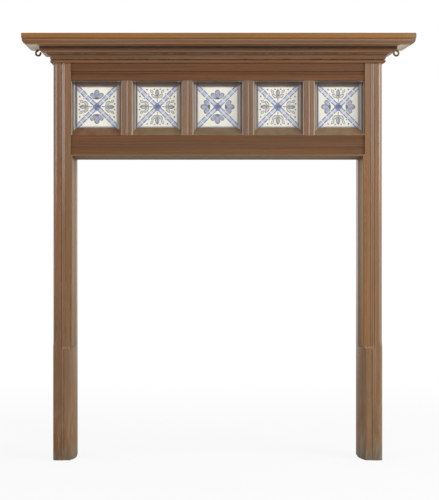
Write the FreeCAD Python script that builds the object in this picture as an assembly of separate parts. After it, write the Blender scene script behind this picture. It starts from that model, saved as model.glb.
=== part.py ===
import FreeCAD, Part
import math
import os

from FreeCAD import Placement, Rotation, Vector

# Wooden fireplace surround with a tiled frieze. Millimetres, front towards -Y, wall at +Y, floor at z = 0.

# Tiles and the panels that hold them
tile_side = 152.4
tile_thick = 11.0
tile_count = 5
tile_arris = 1.0  # rounding of the glazed edges
tile_lap = 3.4  # cover of the panel moulds over a tile's edge
tile_play = 0.5  # room round a tile in its rebate
panel_mould_wide = 18.6  # on the face, from frame to sight edge
panel_mould_deep = 25.0  # from the frieze face back to the tile
panel_bead = 6.0
panel_lip = 3.0  # thickness of the sight edge
panel_quirk_deep = 8.5  # foot of the quirk behind the bead
panel_hollow = 1.8  # sag of the slope down to the tile
sill_rise = 30.0
sill_nose = 2.0
mullion_wide = 32.0
mullion_bead = 9.0

# Frieze rails
rail_setback = 5.0  # frieze face behind the leg face
bottom_rail_high = 67.0
top_rail_face = 61.3  # from the panels up to the necking
rail_reed = 8.6
top_reed_drop = 28.0  # necking down to the upper quirk
bottom_reed_drop = 22.0  # sill down to the upper quirk
reed_quirk = 2.0
reed_deep = 2.6
bottom_reed_deep = 1.2
reed_crown = 0.3  # reeds lie this far under the face they are cut in
tenon_thick = 12.0
tenon_long = 20.0
tenon_shoulder = 8.0

# Fire opening
opening_high = 1066.0
opening_mould_wide = 17.0
opening_mould_deep = 60.0
opening_bead = 7.0
opening_bead_quirk = 2.0
opening_sag = 4.0

# Legs
leg_face = 62.0
leg_depth = 105.0
stile_split = 36.0  # outer stile's width, to the joint between the two beads
stile_thick = 45.0
stile_bead = 6.5
stile_bead_stop = 404.0
side_thick = 18.0
corner_wide = 14.0
corner_deep = 24.0
corner_bulge = 5.0
corner_quirk = 2.0
corner_stop = 386.0
corner_runout = 42.0
foot_high = 397.0
foot_setback = 1.5
foot_round_wide = 21.0
foot_round_deep = 58.0
foot_round_bulge = 4.0
foot_chamfer_wide = 6.0
foot_chamfer_deep = 9.0
joint_ease = 0.8  # arris taken off where boards meet

# Cornice and shelf, projections measured from the leg face
necking_high = 10.5
necking_out = 9.5
cove_high = 22.0
cove_quirk_high = 3.0  # groove between the cove and the necking
cove_quirk_out = 5.0
cove_foot_out = 9.8
cove_head_out = 22.0
cove_sag = 4.2
bed_high = 22.0
bed_head_out = 44.0
bed_foot_out = 32.0
bed_fascia = 8.0
bed_bulge = 2.6
edge_high = 22.0
edge_quirk_high = 3.0  # groove under the shelf board
edge_quirk_deep = 2.5
edge_step = 1.0  # ovolo's top behind the board's face
edge_foot_in = 16.0
edge_bulge = 3.6
shelf_thick = 18.0
shelf_out = 100.0
shelf_round = 2.5

# Hidden carcase
backing_thick = 12.0
backing_lap = 34.0  # cover over the rails, above and below the panels
backing_play = 1.0
bearer_thick = 20.0
bearer_high = 70.0
bearer_tenon = 15.0
wall_hole_gap = 600.0
wall_hole_r = 4.0
block_side = 30.0
block_long = 80.0

# Screws
screw_r = 2.1
screw_head_r = 4.2
screw_head_high = 2.4
screw_tip = 5.0
screw_slot = 0.9
screw_play = 0.1
backing_screw_long = 30.0
shelf_screw_long = 42.0

# Cup hooks
hook_room = 2.6  # between the bed mould's side and the turning hook
hook_cover = 6.0  # core's wood beyond the hook's screw
hook_off_wall = 45.0
hook_wire_r = 3.5
hook_ring_r = 8.5
hook_neck_r = 3.6
hook_tip_rise = 6.0  # degrees that the tip climbs past level
hook_ball_r = 3.9
hook_cup_r = 5.2
hook_cup_high = 1.6
hook_cup_crown = 0.8
hook_cup_gap = 0.2
hook_shank_r = 1.8
hook_shank_long = 16.0
hook_fit = 0.05
left_hook_turn = 20.0
right_hook_turn = 0.0

over = 1.0  # cutters reach this far past the faces they open

# Plan
panel_wide = tile_side - 2 * tile_lap + 2 * panel_mould_wide
pitch = panel_wide + mullion_wide
frieze_half = (tile_count * panel_wide + (tile_count - 1) * mullion_wide) / 2
leg_half = frieze_half + leg_face
wall_y = (leg_depth + shelf_out) / 2
leg_y = wall_y - leg_depth
frieze_y = leg_y + rail_setback
rail_thick = panel_mould_deep + tile_thick
rail_back_y = frieze_y + rail_thick
stile_back_y = leg_y + stile_thick
lining_y = leg_y + opening_mould_deep
opening_half = frieze_half - opening_mould_wide
hook_out = bed_head_out + hook_room + hook_ring_r + max(hook_wire_r, hook_ball_r)
hook_x = leg_half + hook_out
hook_y = wall_y - hook_off_wall
core_out = hook_out + hook_cover

# Heights
rail_foot_z = opening_high + opening_mould_wide
sill_z = rail_foot_z + bottom_rail_high
tile_foot_z = sill_z + sill_rise - tile_lap
panel_head_z = tile_foot_z + tile_side - tile_lap + panel_mould_wide
necking_z = panel_head_z + top_rail_face
cove_z = necking_z + necking_high
bed_z = cove_z + cove_high
soffit_z = bed_z + bed_high
shelf_z = soffit_z + edge_high
top_z = shelf_z + shelf_thick
panel_xs = [(i - (tile_count - 1) / 2) * pitch for i in range(tile_count)]
mullion_xs = [x + pitch / 2 for x in panel_xs[:-1]]
reach = 4 * top_z  # larger than the whole piece


# Shape helpers
def prism(outline, place, run):
    """An outline of (a, b) points, where a pair of points is an arc through the first to the second."""
    edges, last = [], outline[0]
    for step in outline[1:] + outline[:1]:
        if isinstance(step[0], tuple):
            edges.append(Part.Arc(place(*last), place(*step[0]), place(*step[1])).toShape())
            last = step[1]
        else:
            edges.append(Part.LineSegment(place(*last), place(*step)).toShape())
            last = step
    return Part.Face(Part.Wire(edges)).extrude(run)


def block(x0, x1, y0, y1, z0, z1):
    return Part.makeBox(x1 - x0, y1 - y0, z1 - z0, Vector(x0, y0, z0))


def trimmed(shape, point, normal):
    """The shape without what lies beyond the plane through point, on the side of normal."""
    beyond = Part.makeBox(reach, reach, reach, Vector(-reach / 2, -reach / 2, 0))
    beyond.Placement = Placement(point, Rotation(Vector(0, 0, 1), normal))
    return shape.cut(beyond)


def bulged(start, end, height):
    """Middle of an arc from start to end that stands height to the left of the straight line."""
    along, rise = end[0] - start[0], end[1] - start[1]
    span = math.hypot(along, rise)
    middle = ((start[0] + end[0]) / 2, (start[1] + end[1]) / 2)
    return (middle[0] - height * rise / span, middle[1] + height * along / span)


def mirrored(shape):
    return shape.mirror(Vector(0, 0, 0), Vector(1, 0, 0))


def save(name, *solids):
    shape = solids[0] if len(solids) == 1 else Part.makeCompound(list(solids))
    shape.exportStep(f"parts/{name}.step")


def save_pair(name, right):
    save(f"right_{name}", right)
    save(f"left_{name}", mirrored(right))


def leg_plan(z):
    """Plan of the right leg: u in from its outer side, v back from its front face."""
    return lambda u, v: Vector(leg_half - u, leg_y + v, z)


def reed_outline(first, wide, count, to_edge, deep=reed_deep):
    """Cutter over a row of reeds, as (across, deep), with a quirk beside each, or open at a board's edge."""
    outline = [(first, -over), (first, deep)]
    for i in range(count):
        start = first + reed_quirk + i * (wide + reed_quirk)
        outline.append((start, deep))
        outline.append(((start + wide / 2, reed_crown), (start + wide, deep)))
    end = start + wide + (over if to_edge else reed_quirk)
    return outline + [(end, deep), (end, -over)]


def screw(length, point, direction):
    """Slotted countersunk wood screw with its head at point."""
    cone = Part.makeCone(screw_head_r, screw_r, screw_head_high)
    shank = Part.makeCylinder(screw_r, length - screw_head_high - screw_tip, Vector(0, 0, screw_head_high))
    tip = Part.makeCone(screw_r, screw_slot / 2, screw_tip, Vector(0, 0, length - screw_tip))
    slot = block(-screw_head_r, screw_head_r, -screw_slot / 2, screw_slot / 2, -over, screw_slot)
    solid = cone.fuse(shank).fuse(tip).cut(slot).removeSplitter()
    solid.Placement = Placement(point, Rotation(Vector(0, 0, 1), direction))
    return solid


def screw_hole(length, point, direction):
    """Room for such a screw, with its countersink."""
    cone = Part.makeCone(screw_head_r + screw_play, screw_r + screw_play, screw_head_high)
    bore = Part.makeCylinder(screw_r + screw_play, length + screw_play)
    solid = cone.fuse(bore)
    solid.Placement = Placement(point, Rotation(Vector(0, 0, 1), direction))
    return solid


# Legs
def moulded_corner():
    """What is taken off a leg's outer front corner, run out above the foot."""
    quirk = (corner_wide, corner_quirk)
    side = (0.0, corner_deep)
    outline = [
        (corner_wide, -over),
        quirk,
        (bulged(quirk, side, corner_bulge), side),
        (-over, corner_deep),
        (-over, -over),
    ]
    cutter = prism(outline, leg_plan(corner_stop), Vector(0, 0, necking_z - corner_stop))
    corner = Vector(leg_half, leg_y, corner_stop)
    slope = Vector(corner_runout / corner_wide, -corner_runout / corner_deep, 1)
    return trimmed(cutter, corner, slope * -1)


def outer_stile():
    outline = [
        (0.0, foot_chamfer_deep),
        (foot_chamfer_wide, 0.0),
        (stile_split - joint_ease, 0.0),
        (stile_split, joint_ease),
        (stile_split, stile_thick),
        (0.0, stile_thick),
    ]
    stile = prism(outline, leg_plan(0), Vector(0, 0, soffit_z))
    square = [(0.0, 0.0), (foot_chamfer_wide, 0.0), (0.0, foot_chamfer_deep)]
    stile = stile.fuse(prism(square, leg_plan(necking_z), Vector(0, 0, soffit_z - necking_z)))
    bead = reed_outline(stile_split - stile_bead - reed_quirk, stile_bead, 1, True)
    cutter = prism(bead, leg_plan(stile_bead_stop), Vector(0, 0, necking_z - stile_bead_stop))
    return stile.cut(cutter).cut(moulded_corner()).removeSplitter()


def inner_stile():
    stile = prism(
        [(stile_split, 0.0), (leg_face, 0.0), (leg_face, stile_thick), (stile_split, stile_thick)],
        leg_plan(foot_high),
        Vector(0, 0, soffit_z - foot_high),
    )
    bead = reed_outline(0.0, stile_bead, 1, True)
    joint = stile_split + stile_bead + reed_quirk
    plan = leg_plan(stile_bead_stop)
    cutter = prism(bead, lambda a, v: plan(joint - a, v), Vector(0, 0, necking_z - stile_bead_stop))
    return stile.cut(cutter).cut(rail_tenons(screw_play))


def inner_foot():
    """Lower inner half of the leg, with its wide rounded corner to the opening."""
    inside = leg_face + opening_mould_wide
    start = (inside - foot_round_wide, foot_setback)
    end = (inside, foot_setback + foot_round_deep)
    outline = [
        (stile_split, foot_setback + joint_ease),
        (stile_split + joint_ease, foot_setback),
        start,
        (bulged(start, end, -foot_round_bulge), end),
        (inside, opening_mould_deep),
        (leg_face, opening_mould_deep),
        (leg_face, stile_thick),
        (stile_split, stile_thick),
    ]
    return prism(outline, leg_plan(0), Vector(0, 0, foot_high))


def core_post():
    post = block(
        leg_half - leg_face, leg_half - side_thick, stile_back_y, wall_y, 0, soffit_z
    )
    return post.cut(rear_bearer_blank(screw_play))


def side_return():
    return block(leg_half - side_thick, leg_half, stile_back_y, wall_y, 0, soffit_z)


def jamb_lining():
    return block(opening_half, frieze_half, lining_y, wall_y, 0, opening_high)


def opening_outline():
    """Section of the mould round the fire opening: in from the frame, and back from the leg face."""
    radius = opening_bead / 2
    start = (opening_bead, radius + opening_bead_quirk)
    end = (opening_mould_wide, opening_mould_deep)
    return [
        (0.0, radius),
        ((radius, 0.0), (opening_bead, radius)),
        start,
        (bulged(start, end, opening_sag), end),
        (0.0, opening_mould_deep),
    ]


def opening_mould_side():
    plan = leg_plan(foot_high)
    rise = Vector(0, 0, rail_foot_z - foot_high)
    mould = prism(opening_outline(), lambda a, v: plan(leg_face + a, v), rise)
    return trimmed(mould, Vector(frieze_half, leg_y, rail_foot_z), Vector(-1, 0, 1))


def opening_mould_head():
    place = lambda a, v: Vector(-frieze_half, leg_y + v, rail_foot_z - a)
    mould = prism(opening_outline(), place, Vector(2 * frieze_half, 0, 0))
    mould = trimmed(mould, Vector(frieze_half, leg_y, rail_foot_z), Vector(1, 0, -1))
    return trimmed(mould, Vector(-frieze_half, leg_y, rail_foot_z), Vector(-1, 0, -1))


def head_lining():
    return block(-frieze_half, frieze_half, lining_y, wall_y, opening_high, rail_foot_z)


# Frieze frame
tenon_y = frieze_y + (rail_thick - tenon_thick) / 2


def rail_tenons(play):
    """Both rails' tenons, right through the frieze, with room round them where play is given."""
    half = frieze_half + tenon_long + play
    spans = [(rail_foot_z, sill_z), (panel_head_z, necking_z)]
    tenons = [
        block(
            -half,
            half,
            tenon_y - play,
            tenon_y + tenon_thick + play,
            low + tenon_shoulder - play,
            high - tenon_shoulder + play,
        )
        for low, high in spans
    ]
    return Part.makeCompound(tenons)


def mullion_tenons(play):
    """The mullions' tenons, from rail to rail."""
    half = mullion_wide / 2 - tenon_shoulder + play
    tenons = [
        block(
            x - half,
            x + half,
            tenon_y - play,
            tenon_y + tenon_thick + play,
            sill_z - tenon_long - play,
            panel_head_z + tenon_long + play,
        )
        for x in mullion_xs
    ]
    return tenons


def along_rail(high):
    """Cutter placing for reeds along a rail, measured down from high and back from the frieze face."""
    return lambda a, d: Vector(-frieze_half - over, frieze_y + d, high - a)


rail_run = Vector(2 * (frieze_half + over), 0, 0)


def bottom_rail():
    rail = block(-frieze_half, frieze_half, frieze_y, rail_back_y, rail_foot_z, sill_z)
    reeds = reed_outline(bottom_reed_drop, rail_reed, 2, False, bottom_reed_deep)
    rail = rail.cut(prism(reeds, along_rail(sill_z), rail_run))
    rail = rail.fuse(rail_tenons(0).Solids[0]).cut(Part.makeCompound(mullion_tenons(screw_play)))
    return rail.cut(Part.makeCompound(backing_screw_shapes(screw_hole))).removeSplitter()


def top_rail():
    rail = block(-frieze_half, frieze_half, frieze_y, rail_back_y, panel_head_z, soffit_z)
    seat = block(-frieze_half, frieze_half, leg_y, frieze_y, necking_z, soffit_z)
    reeds = reed_outline(top_reed_drop, rail_reed, 1, False)
    rail = rail.fuse(seat).cut(prism(reeds, along_rail(necking_z), rail_run))
    rail = rail.fuse(rail_tenons(0).Solids[1]).cut(Part.makeCompound(mullion_tenons(screw_play)))
    return rail.cut(Part.makeCompound(backing_screw_shapes(screw_hole))).removeSplitter()


def mullion(x, tenon):
    half = mullion_wide / 2
    post = block(x - half, x + half, frieze_y, rail_back_y, sill_z, panel_head_z)
    bead = reed_outline(-mullion_bead / 2 - reed_quirk, mullion_bead, 1, False)
    place = lambda a, d: Vector(x + a, frieze_y + d, sill_z - over)
    cutter = prism(bead, place, Vector(0, 0, panel_head_z - sill_z + 2 * over))
    return post.cut(cutter).fuse(tenon).removeSplitter()


# Panels
def panel_outline():
    """Section of a panel mould with its tile rebate: in from the frame, and back from the frieze face."""
    radius = panel_bead / 2
    start = (panel_bead, panel_quirk_deep)
    end = (panel_mould_wide, panel_mould_deep - panel_lip)
    rebate = panel_mould_wide - tile_lap - tile_play
    return [
        (0.0, radius),
        ((radius, 0.0), (panel_bead, radius)),
        start,
        (bulged(start, end, panel_hollow), end),
        (panel_mould_wide, panel_mould_deep),
        (rebate, panel_mould_deep),
        (rebate, rail_thick),
        (0.0, rail_thick),
    ]


def sill(x):
    outline = [
        (0.0, 0.0),
        (0.0, sill_nose),
        (panel_mould_deep, sill_rise),
        (panel_mould_deep, sill_rise - tile_lap),
        (rail_thick, sill_rise - tile_lap),
        (rail_thick, 0.0),
    ]
    place = lambda d, h: Vector(x - panel_wide / 2, frieze_y + d, sill_z + h)
    return prism(outline, place, Vector(panel_wide, 0, 0))


def panel_moulds(x):
    """Two jambs and a head, mitred at the top and fitted to the sill below."""
    left, right = x - panel_wide / 2, x + panel_wide / 2
    corners = [Vector(left, frieze_y, panel_head_z), Vector(right, frieze_y, panel_head_z)]
    rise = Vector(0, 0, panel_head_z - sill_z)
    jambs = []
    for edge, inward, corner in ((left, 1, corners[0]), (right, -1, corners[1])):
        place = lambda a, d: Vector(edge + inward * a, frieze_y + d, sill_z)
        jamb = prism(panel_outline(), place, rise).cut(sill(x))
        jambs.append(trimmed(jamb, corner, Vector(inward, 0, 1)))
    place = lambda a, d: Vector(left, frieze_y + d, panel_head_z - a)
    head = prism(panel_outline(), place, Vector(panel_wide, 0, 0))
    head = trimmed(head, corners[0], Vector(-1, 0, -1))
    head = trimmed(head, corners[1], Vector(1, 0, -1))
    return [solid for part in (*jambs, head) for solid in part.Solids]


def tile(x):
    front = frieze_y + panel_mould_deep
    half = tile_side / 2
    body = block(x - half, x + half, front, front + tile_thick, tile_foot_z, tile_foot_z + tile_side)
    arrises = [e for e in body.Edges if all(abs(v.Y - front) < tile_arris / 2 for v in e.Vertexes)]
    return body.makeFillet(tile_arris, arrises)


backing_foot_z = sill_z - backing_lap
backing_head_z = panel_head_z + backing_lap


def backing_screw_shapes(make):
    """One screw, or screw hole, into each rail behind the middle of every panel."""
    heights = (backing_foot_z + backing_lap / 2, backing_head_z - backing_lap / 2)
    back = rail_back_y + backing_thick
    return [
        make(backing_screw_long, Vector(x, back, z), Vector(0, -1, 0)) for z in heights for x in panel_xs
    ]


def backing_board():
    half = frieze_half - backing_play
    back = rail_back_y + backing_thick
    board = block(-half, half, rail_back_y, back, backing_foot_z, backing_head_z)
    return board.cut(Part.makeCompound(backing_screw_shapes(screw_hole)))


# Cornice and shelf
def returned(outline):
    """A moulding of (out, z) along the front, mitred to a return on each side."""
    half = leg_half + shelf_out
    corner = Vector(leg_half, leg_y, 0)
    front = prism(outline, lambda p, z: Vector(-half, leg_y - p, z), Vector(2 * half, 0, 0))
    front = trimmed(front, corner, Vector(1, 1, 0))
    front = trimmed(front, Vector(-leg_half, leg_y, 0), Vector(-1, 1, 0))
    run = Vector(0, -leg_depth - shelf_out, 0)
    right = prism(outline, lambda p, z: Vector(leg_half + p, wall_y, z), run)
    return front, trimmed(right, corner, Vector(-1, -1, 0))


def save_returned(name, outline):
    front, right = returned(outline)
    save(f"{name}_front", front)
    save(f"{name}_right", right)
    save(f"{name}_left", mirrored(right))


def necking_outline():
    radius = necking_high / 2
    inner = necking_out - radius
    foot, head = (inner, necking_z), (inner, cove_z)
    return [(0.0, necking_z), foot, ((necking_out, necking_z + radius), head), (0.0, cove_z)]


def cove_outline():
    foot_z = cove_z + cove_quirk_high
    foot, head = (cove_foot_out, foot_z), (cove_head_out, bed_z)
    return [
        (0.0, cove_z),
        (cove_quirk_out, cove_z),
        (cove_quirk_out, foot_z),
        foot,
        (bulged(foot, head, cove_sag), head),
        (0.0, bed_z),
    ]


def bed_outline():
    foot, spring = (bed_foot_out, bed_z), (bed_head_out, soffit_z - bed_fascia)
    return [
        (0.0, bed_z),
        foot,
        (bulged(foot, spring, -bed_bulge), spring),
        (bed_head_out, soffit_z),
        (0.0, soffit_z),
    ]


def edge_outline():
    quirk = shelf_out - edge_quirk_deep
    foot = (shelf_out - edge_foot_in, soffit_z)
    spring = (shelf_out - edge_step, shelf_z - edge_quirk_high)
    return [
        (core_out, soffit_z),
        foot,
        (bulged(foot, spring, -edge_bulge), spring),
        (quirk, shelf_z - edge_quirk_high),
        (quirk, shelf_z),
        (core_out, shelf_z),
    ]


def shelf_board():
    """Board with rounded upper and eased lower arrises on the front and both ends."""
    half, front = leg_half + shelf_out, leg_y - shelf_out
    turn = shelf_round * (1 - math.sqrt(0.5))
    ease, r = joint_ease, shelf_round
    profile = [
        (0.0, shelf_z + ease),
        (0.0, top_z - r),
        ((turn, top_z - turn), (r, top_z)),
    ]
    side = lambda a, z: Vector(-half, front + a, z)
    long_outline = profile + [(wall_y - front, top_z), (wall_y - front, shelf_z), (ease, shelf_z)]
    board = prism(long_outline, side, Vector(2 * half, 0, 0))
    full = 2 * half
    end_outline = profile + [
        (full - r, top_z),
        ((full - turn, top_z - turn), (full, top_z - r)),
        (full, shelf_z + ease),
        (full - ease, shelf_z),
        (ease, shelf_z),
    ]
    ends = prism(end_outline, lambda a, z: Vector(a - half, front, z), Vector(0, wall_y - front, 0))
    return board.common(ends)


def shelf_core():
    half = leg_half + core_out
    core = block(-half, half, leg_y - core_out, wall_y, soffit_z, shelf_z)
    for x in (-hook_x, hook_x):
        bore = hook_shank_long + hook_cup_gap
        core = core.cut(Part.makeCylinder(hook_shank_r + hook_fit, bore, Vector(x, hook_y, soffit_z)))
    return core.cut(Part.makeCompound(shelf_screw_shapes(screw_hole)))


# Carcase behind the frieze
def rear_bearer_blank(play):
    half = frieze_half + bearer_tenon + play
    low = soffit_z - bearer_high
    inset = tenon_shoulder - play
    return block(
        -half, half, wall_y - bearer_thick + inset / 2, wall_y - inset / 2, low + inset, soffit_z - inset
    )


def rear_bearer():
    low = soffit_z - bearer_high
    bearer = block(-frieze_half, frieze_half, wall_y - bearer_thick, wall_y, low, soffit_z)
    bearer = bearer.fuse(rear_bearer_blank(0))
    for x in (-wall_hole_gap / 2, wall_hole_gap / 2):
        start = Vector(x, wall_y - bearer_thick - over, low + bearer_high / 2)
        bearer = bearer.cut(
            Part.makeCylinder(wall_hole_r, bearer_thick + 2 * over, start, Vector(0, 1, 0))
        )
    return bearer.removeSplitter()


def shelf_screw_shapes(make):
    """One screw, or screw hole, up through every glue block into the shelf core."""
    y = rail_back_y + block_side / 2
    return [make(shelf_screw_long, Vector(x, y, soffit_z - block_side), Vector(0, 0, 1)) for x in panel_xs]


def glue_blocks():
    holes = Part.makeCompound(shelf_screw_shapes(screw_hole))
    blocks = []
    for x in panel_xs:
        place = lambda d, h: Vector(x - block_long / 2, rail_back_y + d, soffit_z - h)
        half = block_side / 2
        outline = [
            (0.0, 0.0),
            (block_side, 0.0),
            (block_side, half),
            (half + half / 2, block_side),
            (0.0, block_side),
        ]
        blocks.append(prism(outline, place, Vector(block_long, 0, 0)).cut(holes))
    return [solid for piece in blocks for solid in piece.Solids]


# Cup hooks
def cup_hook():
    """Hook about its own screw axis, hanging from z = 0, open towards -X."""
    cup_foot = -hook_cup_gap - hook_cup_high
    cup = [
        (0.0, -hook_cup_gap),
        (hook_cup_r, -hook_cup_gap),
        (hook_cup_r, -hook_cup_gap - hook_cup_crown),
        (hook_wire_r, cup_foot),
        (0.0, cup_foot),
    ]
    flat = [Vector(r, 0, z) for r, z in cup]
    flange = Part.Face(Part.makePolygon(flat + flat[:1])).revolve(Vector(0, 0, 0), Vector(0, 0, 1), 360)
    shank = Part.makeCylinder(hook_shank_r, hook_shank_long + hook_cup_gap, Vector(0, 0, -hook_cup_gap))
    lean = math.acos(hook_neck_r / (hook_neck_r + hook_ring_r))
    neck = Vector(0, 0, cup_foot)
    neck_centre = neck + Vector(hook_neck_r, 0, 0)
    ring_centre = neck - Vector(0, 0, (hook_neck_r + hook_ring_r) * math.sin(lean))
    around = lambda centre, r, angle: centre + Vector(r * math.cos(angle), 0, r * math.sin(angle))
    start = Vector(0, 0, cup_foot + hook_cup_high / 2)
    join = around(neck_centre, hook_neck_r, math.pi + lean)
    tip_angle = -math.pi - math.radians(hook_tip_rise)
    tip = around(ring_centre, hook_ring_r, tip_angle)
    path = Part.Wire(
        [
            Part.LineSegment(start, neck).toShape(),
            Part.Arc(neck, around(neck_centre, hook_neck_r, math.pi + lean / 2), join).toShape(),
            Part.Arc(join, around(ring_centre, hook_ring_r, (lean + tip_angle) / 2), tip).toShape(),
        ]
    )
    circle = Part.Wire(Part.makeCircle(hook_wire_r, start, Vector(0, 0, 1)))
    wire = path.makePipeShell([circle], True, False)
    ball = Part.makeSphere(hook_ball_r, tip)
    return flange.fuse(shank).fuse(wire).fuse(ball).removeSplitter()


def placed_hook(shape, x, turn):
    hook = shape.copy()
    hook.Placement = Placement(Vector(x, hook_y, soffit_z), Rotation(Vector(0, 0, 1), turn))
    return hook


os.makedirs("parts", exist_ok=True)

save_pair("outer_stile", outer_stile())
save_pair("inner_stile", inner_stile())
save_pair("inner_foot", inner_foot())
save_pair("core_post", core_post())
save_pair("side_return", side_return())
save_pair("jamb_lining", jamb_lining())
save_pair("opening_mould", opening_mould_side())
save("opening_mould_head", opening_mould_head())
save("head_lining", head_lining())

save("bottom_rail", bottom_rail())
save("top_rail", top_rail())
for number, (x, tenon) in enumerate(zip(mullion_xs, mullion_tenons(0)), 1):
    save(f"mullion_{number}", mullion(x, tenon))
for number, x in enumerate(panel_xs, 1):
    save(f"panel_{number}_mould", *panel_moulds(x))
    save(f"sill_{number}", sill(x))
    save(f"tile_{number}", tile(x))
save("backing_board", backing_board())
save("backing_screws", *backing_screw_shapes(screw))

save_returned("necking", necking_outline())
save_returned("cove_mould", cove_outline())
save_returned("bed_mould", bed_outline())
save_returned("shelf_edge", edge_outline())
save("shelf_core", shelf_core())
save("shelf_board", shelf_board())
save("rear_bearer", rear_bearer())
save("glue_blocks", *glue_blocks())
save("shelf_screws", *shelf_screw_shapes(screw))

hook = cup_hook()
save("right_hook", placed_hook(hook, hook_x, right_hook_turn))
save("left_hook", placed_hook(mirrored(hook), -hook_x, left_hook_turn))
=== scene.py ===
import math

import bpy
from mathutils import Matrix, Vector


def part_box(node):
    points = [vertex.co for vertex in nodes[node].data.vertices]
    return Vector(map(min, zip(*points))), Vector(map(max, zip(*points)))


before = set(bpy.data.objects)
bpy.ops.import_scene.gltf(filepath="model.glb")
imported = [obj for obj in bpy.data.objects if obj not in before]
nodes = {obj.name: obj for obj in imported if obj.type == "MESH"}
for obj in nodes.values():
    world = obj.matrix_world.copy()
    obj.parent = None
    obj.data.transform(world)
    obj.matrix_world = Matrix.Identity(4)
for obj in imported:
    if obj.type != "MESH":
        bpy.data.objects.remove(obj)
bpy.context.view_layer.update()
print("surround loaded,", len(nodes), "pieces")

scene = bpy.context.scene
scene.view_settings.view_transform = "Standard"


# small helpers for node trees
def addNode(tree, kind, **settings):
    node = tree.nodes.new(kind)
    for key, value in settings.items():
        setattr(node, key, value)
    return node


def feed(tree, socket, value):  # a socket is linked, anything else is set
    if isinstance(value, bpy.types.NodeSocket):
        tree.links.new(value, socket)
    else:
        socket.default_value = value


def calc(tree, operation, *values, clamp=False):
    node = addNode(tree, "ShaderNodeMath", operation=operation, use_clamp=clamp)
    for socket, value in zip(node.inputs, values):
        feed(tree, socket, value)
    return node.outputs[0]


def times(tree, first, second, clamp=False):
    return calc(tree, "MULTIPLY", first, second, clamp=clamp)


def largest(tree, *values):
    result = values[0]
    for value in values[1:]:
        result = calc(tree, "MAXIMUM", result, value)
    return result


def distance(tree, first, second):  # length of a pair of offsets
    return calc(tree, "SQRT", calc(tree, "ADD", times(tree, first, first), times(tree, second, second)))


def objectPlace(tree):
    return addNode(tree, "ShaderNodeTexCoord").outputs["Object"]


def splitPlace(tree, place):  # outputs X, Y and Z
    node = addNode(tree, "ShaderNodeSeparateXYZ")
    feed(tree, node.inputs[0], place)
    return node.outputs


def stretch(tree, place, scales):  # coordinates scaled along each axis
    node = addNode(tree, "ShaderNodeVectorMath", operation="MULTIPLY")
    feed(tree, node.inputs[0], place)
    node.inputs[1].default_value = scales
    return node.outputs[0]


def noise(tree, place, scales, detail=2.0, roughness=0.5):
    node = addNode(tree, "ShaderNodeTexNoise")
    feed(tree, node.inputs["Vector"], stretch(tree, place, scales))
    node.inputs["Scale"].default_value = 1.0
    node.inputs["Detail"].default_value = detail
    node.inputs["Roughness"].default_value = roughness
    return node.outputs["Fac"]


def ease(tree, value, low, high, atLow=0.0, atHigh=1.0):  # smooth step between two levels
    node = addNode(tree, "ShaderNodeMapRange", interpolation_type="SMOOTHSTEP")
    levels = {"Value": value, "From Min": low, "From Max": high, "To Min": atLow, "To Max": atHigh}
    for key, number in levels.items():
        feed(tree, node.inputs[key], number)
    return node.outputs["Result"]


def blendColour(tree, amount, first, second, mode="MIX"):
    node = addNode(tree, "ShaderNodeMix", data_type="RGBA", blend_type=mode)
    sockets = (node.inputs[0], node.inputs[6], node.inputs[7])  # factor, A and B of a colour mix
    for socket, value in zip(sockets, (amount, first, second)):
        feed(tree, socket, value)
    return node.outputs[2]


def tinted(tree, colour, tint):
    return blendColour(tree, 1.0, colour, tint, "MULTIPLY")


def newGroup(name, inputs, outputs):
    group = bpy.data.node_groups.new(name, "ShaderNodeTree")
    kinds = {"vector": "NodeSocketVector", "colour": "NodeSocketColor", "value": "NodeSocketFloat"}
    for label, kind in inputs:
        group.interface.new_socket(label, in_out="INPUT", socket_type=kinds[kind])
    for label, kind in outputs:
        group.interface.new_socket(label, in_out="OUTPUT", socket_type=kinds[kind])
    given = addNode(group, "NodeGroupInput").outputs
    wanted = addNode(group, "NodeGroupOutput").inputs
    return group, given, wanted


def useGroup(tree, group, **values):  # keys are the sockets' names without spaces
    node = addNode(tree, "ShaderNodeGroup", node_tree=group)
    for socket in node.inputs:
        key = socket.name[0].lower() + socket.name[1:].replace(" ", "")
        if key in values:
            feed(tree, socket, values[key])
    return node.outputs


def rgb(shade):  # a colour with full alpha
    return (*shade, 1.0)


def newMaterial(name):
    material = bpy.data.materials.new(name)
    material.use_nodes = True
    tree = material.node_tree
    return material, tree, tree.nodes["Principled BSDF"]


def addBump(tree, shader, height, depth, strength):
    bump = addNode(tree, "ShaderNodeBump")
    bump.inputs["Strength"].default_value = strength
    bump.inputs["Distance"].default_value = depth
    feed(tree, bump.inputs["Height"], height)
    feed(tree, shader.inputs["Normal"], bump.outputs["Normal"])


def dress(node, material):
    slots = nodes[node].data.materials
    slots.clear()
    slots.append(material)


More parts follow.
